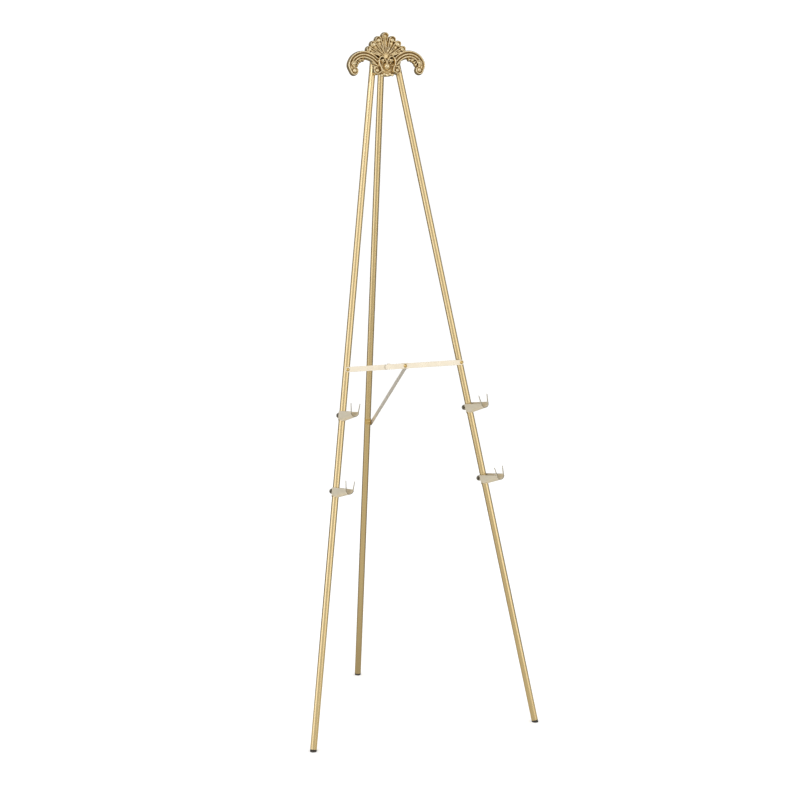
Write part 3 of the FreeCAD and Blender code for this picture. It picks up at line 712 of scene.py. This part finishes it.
def ridge(bm, points, widths, heights):
    """A half-round ridge with a flat bottom, pushed along a curve. widths are half widths."""
    line = smooth_line(points)
    ring = bmesh.ops.create_circle(bm, cap_ends=True, segments=RIDGE_SIDES, radius=1.0)["verts"]
    for vertex in ring:
        vertex.co.y = max(vertex.co.y, 0.0)
    cap = ring[0].link_faces[0]
    last = Matrix.Identity(4)
    for i, place in enumerate(line):
        share = i / (len(line) - 1)
        heading = (line[min(i + 1, len(line) - 1)] - line[max(i - 1, 0)]).normalized()
        across = Vector((heading.y, -heading.x, 0)) * value_along(widths, share)
        height = value_along(heights, share)
        here = Matrix(((across.x, 0, heading.x, place.x), (across.y, 0, heading.y, place.y),
                       (0, height, 0, 0), (0, 0, 0, 1)))
        if i:
            grown = bmesh.ops.extrude_face_region(bm, geom=[cap])["geom"]
            ring = [part for part in grown if isinstance(part, bmesh.types.BMVert)]
            cap = next(part for part in grown if isinstance(part, bmesh.types.BMFace))
        bmesh.ops.transform(bm, matrix=here @ last.inverted(), verts=ring)
        last = here


def dome(bm, place, size, height):
    """A low dome on a flat bottom. size is its two half widths."""
    shape = Matrix.Translation((*place, 0)) @ Matrix.Diagonal((size[0], size[1], height, 1))
    made = bmesh.ops.create_uvsphere(bm, u_segments=32, v_segments=16, radius=1.0)["verts"]
    for vertex in made:
        vertex.co.z = max(vertex.co.z, 0.0)
    bmesh.ops.transform(bm, matrix=shape, verts=made)


def bead(bm, place, radius, level):
    """A round bead whose centre is at a height above the flat back."""
    bmesh.ops.create_icosphere(bm, subdivisions=3, radius=radius,
                               matrix=Matrix.Translation((*place, level)))


# %% [markdown]
# ## Crest: the shell
# A fan of seven lobes rises from behind the cartouche. Each lobe curls forward at its rim around
# a bright bead, and narrow flutes run down between them to one centre. Only the middle lobe and
# the three on the right are carved here; the left side is mirrored from them.

# %% Carve the shell
FAN_CENTRE = (0.0, 4.0)
BED = 8.0
SIDE_LOBES = [((18.0, 47.0), 9.4, 4.8), ((31.5, 36.5), 8.8, 5.4), ((43.0, 24.5), 7.8, 4.4)]
RIM_HEIGHT = 15.5


def toward(start, end, share):
    """A point at a share of the way between two others."""
    return (start[0] + (end[0] - start[0]) * share, start[1] + (end[1] - start[1]) * share)


def carve_lobe(bm, place, radius, knob):
    """One side lobe: its bed, the curled rim with its long flute, and the bead."""
    lean = math.degrees(math.atan2(place[1] - FAN_CENTRE[1], place[0] - FAN_CENTRE[0]))
    bed_line = [FAN_CENTRE, toward(FAN_CENTRE, place, 0.5), place]
    ridge(bm, bed_line, (4.0, 7.5, radius), (BED, BED + 1))
    dome(bm, place, (radius, radius), BED + 3)
    curl = arc(place, radius * 0.76, lean + 110, lean - 120)
    stem = [toward(FAN_CENTRE, curl[0], share) for share in (0.2, 0.5, 0.8)]
    ridge(bm, stem + curl, (1.2, 2.2, 2.7, 2.7, 2.4, 1.7), (10, 13, RIM_HEIGHT, RIM_HEIGHT, 13))
    bead(bm, toward(place, FAN_CENTRE, 0.03), knob, 11.0)
    flute = [toward(FAN_CENTRE, place, share) for share in (0.34, 0.5, 0.72)]
    ridge(bm, flute, (1.0, 2.3, 1.6), (10.5, 12.0, 11.0))


def carve_side_of_shell(bm):
    for place, radius, knob in SIDE_LOBES:
        carve_lobe(bm, place, radius, knob)
    last = SIDE_LOBES[-1][0]
    ridge(bm, [(9, 5), (24, 12), (last[0] - 3, last[1] - 7)], (1.6, 2.8, 1.8), (11, 13, 12))


def carve_middle_lobe(bm):
    middle = (0.0, 56.0)
    ridge(bm, [FAN_CENTRE, (0, 30), middle], (4, 8, 10), (BED, BED + 1))
    dome(bm, middle, (10.4, 9.6), BED + 4)
    ridge(bm, [(-5.0, 44), *arc(middle, 7.4, 200, -20), (5.0, 44)],
          (1.4, 2.6, 2.9, 2.6, 1.4), (11, RIM_HEIGHT, RIM_HEIGHT, RIM_HEIGHT, 11))
    dome(bm, (0, 55.5), (3.8, 4.6), 14.5)
    ridge(bm, [(0, 16), (0, 32), (0, 47)], (1.2, 2.4, 1.6), (10.5, 12.5, 11.5))


print("lobes of the shell:", 2 * len(SIDE_LOBES) + 1)


# %% [markdown]
# ## Crest: the arms
# From under the shell an arm sweeps out to each side, arches over and rolls up into a ball. Three
# strands run along it like the ribs of a leaf, the outermost carries on round the roll, and the
# inner edge breaks into small leaf tips. Each strand is the arm's own centre line moved sideways,
# so they stay parallel however the arm bends.

# %% Carve the arms
ARM = [(14, -16), (25, -5), (37, 5), (52, 11), (67, 10.4), (80, 3.5), (87.4, -7), (89.2, -17),
       (87.5, -25)]
ARM_WIDTHS = (5, 7.5, 9.5, 10.8, 11, 11, 10.6, 9.4, 8)
ROLL = (83.2, -26.5)
RIM_SHIFT = 7.4
INNER_STRANDS = [(0.6, 13.0), (-5.6, 12.0)]
LEAF_TIPS = [(59.0, -0.8), (66.0, -3.0), (71.8, -7.4), (75.2, -13.6)]


def carve_arm(bm):
    ridge(bm, ARM, ARM_WIDTHS, (8, 9, 9.5, 9.5, 9))
    dome(bm, ROLL, (11.4, 11.4), 10)
    for shift, height in INNER_STRANDS:
        ridge(bm, beside(ARM[:-1], shift), (1.6, 3.0, 3.3, 3.2, 2.6, 1.2),
              (10, height, height + 0.5, height, height - 0.5, 9))
    rim = beside(ARM[:-1], RIM_SHIFT)
    around = arc(ROLL, 8.6, -10, -290, 10)
    ridge(bm, rim + around, (1.6, 3.2, 3.6, 3.3, 2.9, 2.6, 1.8), (10, 12.5, 13.5, 13.5, 13, 12.5))
    bead(bm, (ROLL[0] - 0.5, ROLL[1] + 0.5), 5.6, 9.5)


def carve_leaf(bm):
    """Leaf tips on the inner edge of the arm, and the leaf that curls over near its end."""
    for tip in LEAF_TIPS:
        dome(bm, tip, (4.2, 4.2), 11)
        ridge(bm, [tip, toward(tip, (84, 2), 0.4)], (2.2, 1.0), (12.5, 12.5))
    curl = (83.5, -9.5)
    ridge(bm, arc(curl, 6.0, 170, -130, 8), (1.4, 2.2, 2.2, 1.4), (12.5, 14.5, 14.5, 13))
    bead(bm, curl, 4.2, 11.5)


print("strands on each arm:", len(INNER_STRANDS) + 1, "leaf tips:", len(LEAF_TIPS))


# %% [markdown]
# ## Crest: the cartouche
# In front of the shell two thick scrolls make a heart open at the bottom. They hold a smooth
# oval boss with a pointed top, roll outwards at their feet around small beads, and stand on a row
# of five beads. Short leaf ribs fill the corners under the arms.

# %% Carve the cartouche
SCROLL = [(1.4, -7), (4.0, 0), (9.5, 6), (16.5, 4.6), (21, -3.5), (19.8, -13), (15.6, -21.5),
          (15.4, -29)]
FOOT_ROLL = (25.5, -26.5)
BOSS = (0.0, -16.5)
BEAD_ROW = [(-13.6, -37.4), (-6.8, -35.0), (0.0, -37.4), (6.8, -35.0), (13.6, -37.4)]
BEAD_RADII = (3.5, 3.9, 4.3, 3.9, 3.5)


def carve_side_of_cartouche(bm):
    dome(bm, (19, -20), (16, 15.5), BED)
    around = arc(FOOT_ROLL, 7.6, 215, 430, 8)
    ridge(bm, SCROLL + around, (2.0, 2.9, 3.3, 3.3, 2.9, 2.7, 2.7, 2.5, 1.6),
          (14, 17, 18, 18, 17, 16, 15, 13.5, 11.5))
    bead(bm, FOOT_ROLL, 4.8, 9.5)
    ridge(bm, arc((9.4, -2.4), 4.4, 40, -150, 7), (1.8, 2.0, 1.3), (14.5, 15, 13.5))
    bead(bm, (9.4, -1.8), 2.9, 12.0)
    for lift in (0.0, 6.5):
        rib = [(37 - lift * 0.3, -7.5 - lift), (29.5, -11 - lift * 0.9), (22, -15.5 - lift * 0.5)]
        ridge(bm, rib, (1.6, 3.0, 1.8), (10, 12.5, 11.5))
    bead(bm, (31.5, -20.5), 3.0, 9.0)


def carve_middle_of_cartouche(bm):
    dome(bm, (0, -14), (26, 22), BED)
    dome(bm, (0, -33), (17, 8), BED)
    dome(bm, BOSS, (10.8, 10.2), 17.5)
    ridge(bm, [(0, -13), (0, -8), (0, -2.0)], (7.0, 4.6, 1.2), (16.5, 15, 11))
    for place, radius in zip(BEAD_ROW, BEAD_RADII):
        bead(bm, place, radius, 7.0)


print("beads under the cartouche:", len(BEAD_ROW))


# %% [markdown]
# ## Crest: casting it in one piece
# The carved solids overlap, and a real crest is one pour of metal. A voxel remesh melts them into
# a single closed skin, a light smoothing takes off the grid it leaves, and the result replaces
# the plain casting. Then the depth of every point is measured for the dark wash: each point is
# compared with the average of its surroundings, and lies in a hollow when that average is
# further out than the point itself.

# %% Fuse the carving
VOXEL = 0.78 * MM
SMOOTHING_ROUNDS = 2
SMOOTHING_PULL = 0.5


def carve_crest():
    """The whole ornament as overlapping solids, in the easel's own space."""
    bm = bmesh.new()
    carve_side_of_shell(bm)
    carve_arm(bm)
    carve_leaf(bm)
    carve_side_of_cartouche(bm)
    everything = bm.verts[:] + bm.edges[:] + bm.faces[:]
    bmesh.ops.mirror(bm, geom=everything, matrix=Matrix.Identity(4), merge_dist=-1.0, axis="X")
    carve_middle_lobe(bm)
    carve_middle_of_cartouche(bm)
    bmesh.ops.recalc_face_normals(bm, faces=bm.faces)
    bmesh.ops.transform(bm, matrix=TO_EASEL, verts=bm.verts)
    return bm


def fuse(bm):
    """One closed skin round all the solids of a bmesh."""
    mesh = bpy.data.meshes.new("carving")
    bm.to_mesh(mesh)
    bm.free()
    holder = bpy.data.objects.new("carving", mesh)
    scene.collection.objects.link(holder)
    remesh = holder.modifiers.new("fuse", "REMESH")
    remesh.mode = "VOXEL"
    remesh.voxel_size = VOXEL
    ready = holder.evaluated_get(bpy.context.evaluated_depsgraph_get())
    skin = bmesh.new()
    skin.from_mesh(ready.to_mesh())
    bpy.data.objects.remove(holder)
    for _ in range(SMOOTHING_ROUNDS):
        bmesh.ops.smooth_vert(skin, verts=skin.verts, factor=SMOOTHING_PULL,
                              use_axis_x=True, use_axis_y=True, use_axis_z=True)
    for face in skin.faces:
        face.smooth = True
    return skin


# %% Measure the hollows
HOLLOW_ROUNDS = 9
HOLLOW_DEPTH = 0.55 * MM


def mark_relief(piece):
    """Writes the relief attribute: 0 in a hollow, one half on level metal, 1 on a ridge."""
    mesh = piece.data
    count = len(mesh.vertices)
    places = np.zeros(count * 3)
    normals = np.zeros(count * 3)
    pairs = np.zeros(len(mesh.edges) * 2, int)
    mesh.vertices.foreach_get("co", places)
    mesh.vertices.foreach_get("normal", normals)
    mesh.edges.foreach_get("vertices", pairs)
    places = places.reshape(-1, 3)
    first, second = pairs.reshape(-1, 2).T
    neighbours = np.bincount(pairs, minlength=count).clip(1)[:, None]
    around = places.copy()
    for _ in range(HOLLOW_ROUNDS):
        total = np.zeros_like(around)
        for axis in range(3):
            total[:, axis] += np.bincount(first, around[second, axis], count)
            total[:, axis] += np.bincount(second, around[first, axis], count)
        around = total / neighbours
    sunk = ((around - places) * normals.reshape(-1, 3)).sum(1)
    relief = (0.5 - sunk / HOLLOW_DEPTH * 0.5).clip(0, 1)
    mesh.attributes.new("relief", "FLOAT", "POINT").data.foreach_set("value", relief)
    return relief


crest = add_piece("sculpted_crest", fuse(carve_crest()), FINISHES["antique_gold"],
                  body_of("crest_casting"))
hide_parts("crest_casting")
relief = mark_relief(crest)
print("crest faces:", len(crest.data.polygons), "mean relief:", round(float(relief.mean()), 3))
